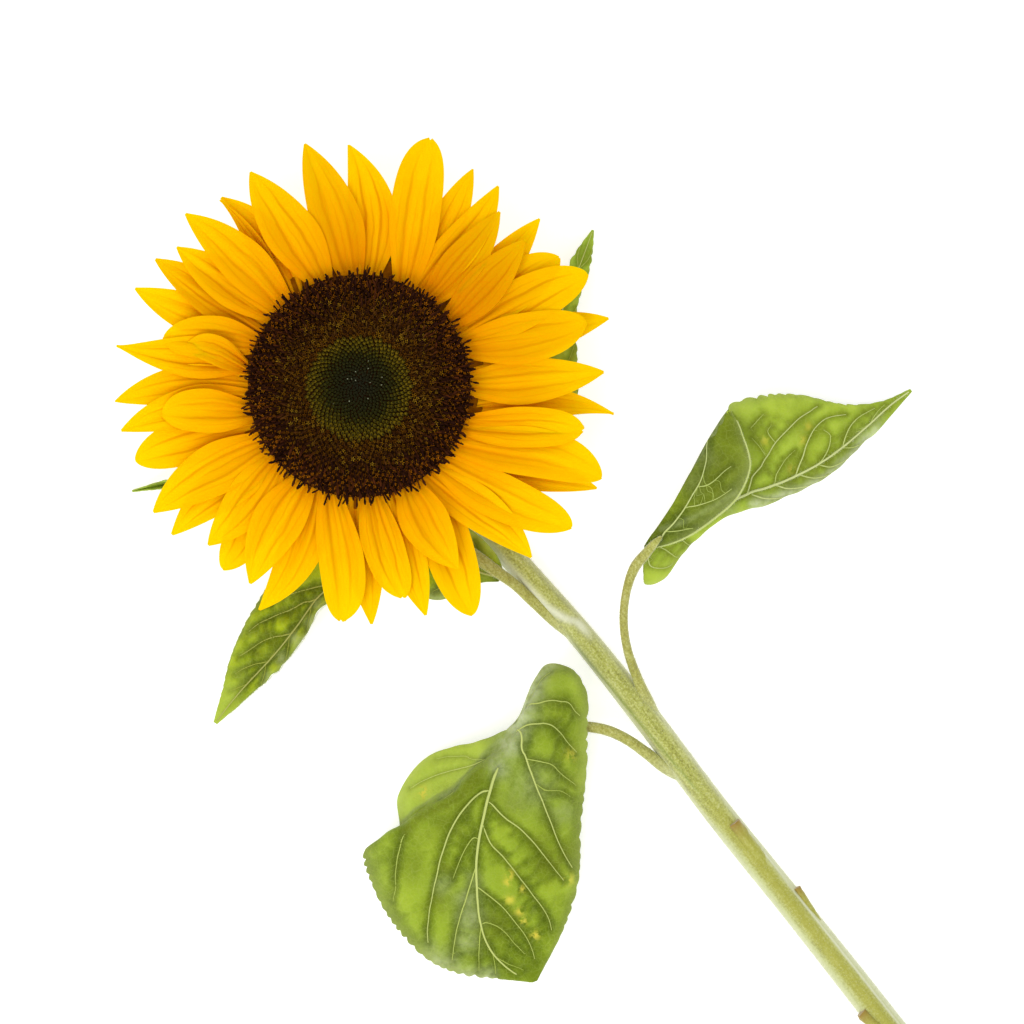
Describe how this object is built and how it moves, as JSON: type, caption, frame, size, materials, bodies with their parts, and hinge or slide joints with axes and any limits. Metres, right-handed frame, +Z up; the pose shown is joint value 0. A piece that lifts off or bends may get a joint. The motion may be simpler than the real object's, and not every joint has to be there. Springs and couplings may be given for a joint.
{
  "type": "cut sunflower",
  "caption": "Cut sunflower lying on its stem, face up: long rays round a domed brown disc, leaf-like bracts behind, broad leaves on a bent-necked stem.",
  "frame": {"origin": "the small flat spot under the neck's bend, on which the flower rests", "axes": "+Z up out of the flower's face, -Y along the lying stem to its cut end, +X to the right of the stem seen from above with the head ahead"},
  "size_m": [0.2305, 0.3777, 0.0394],
  "materials": {
    "stem": "fresh green stem, matt and downy",
    "leaf": "leaf, satin upper side with raised pale veins",
    "leaf_underside": "leaf seen from its pale matt underside",
    "bracts": "green bracts, matt and hairy",
    "rays": "golden yellow petals, satin, orange at the root",
    "open_florets": "dark brown open florets, matt",
    "closed_buds": "olive and dark green closed buds, matt"
  },
  "bodies": {
    "root": {"stem": "stem", "leaf_low": "leaf", "leaf_right": "leaf_underside", "leaf_left": "leaf", "leaf_top": "leaf", "leaf_side": "leaf", "involucre": "bracts", "ray_florets": "rays", "disc_florets": "open_florets", "disc_buds": "closed_buds"}
  },
  "joints": []
}
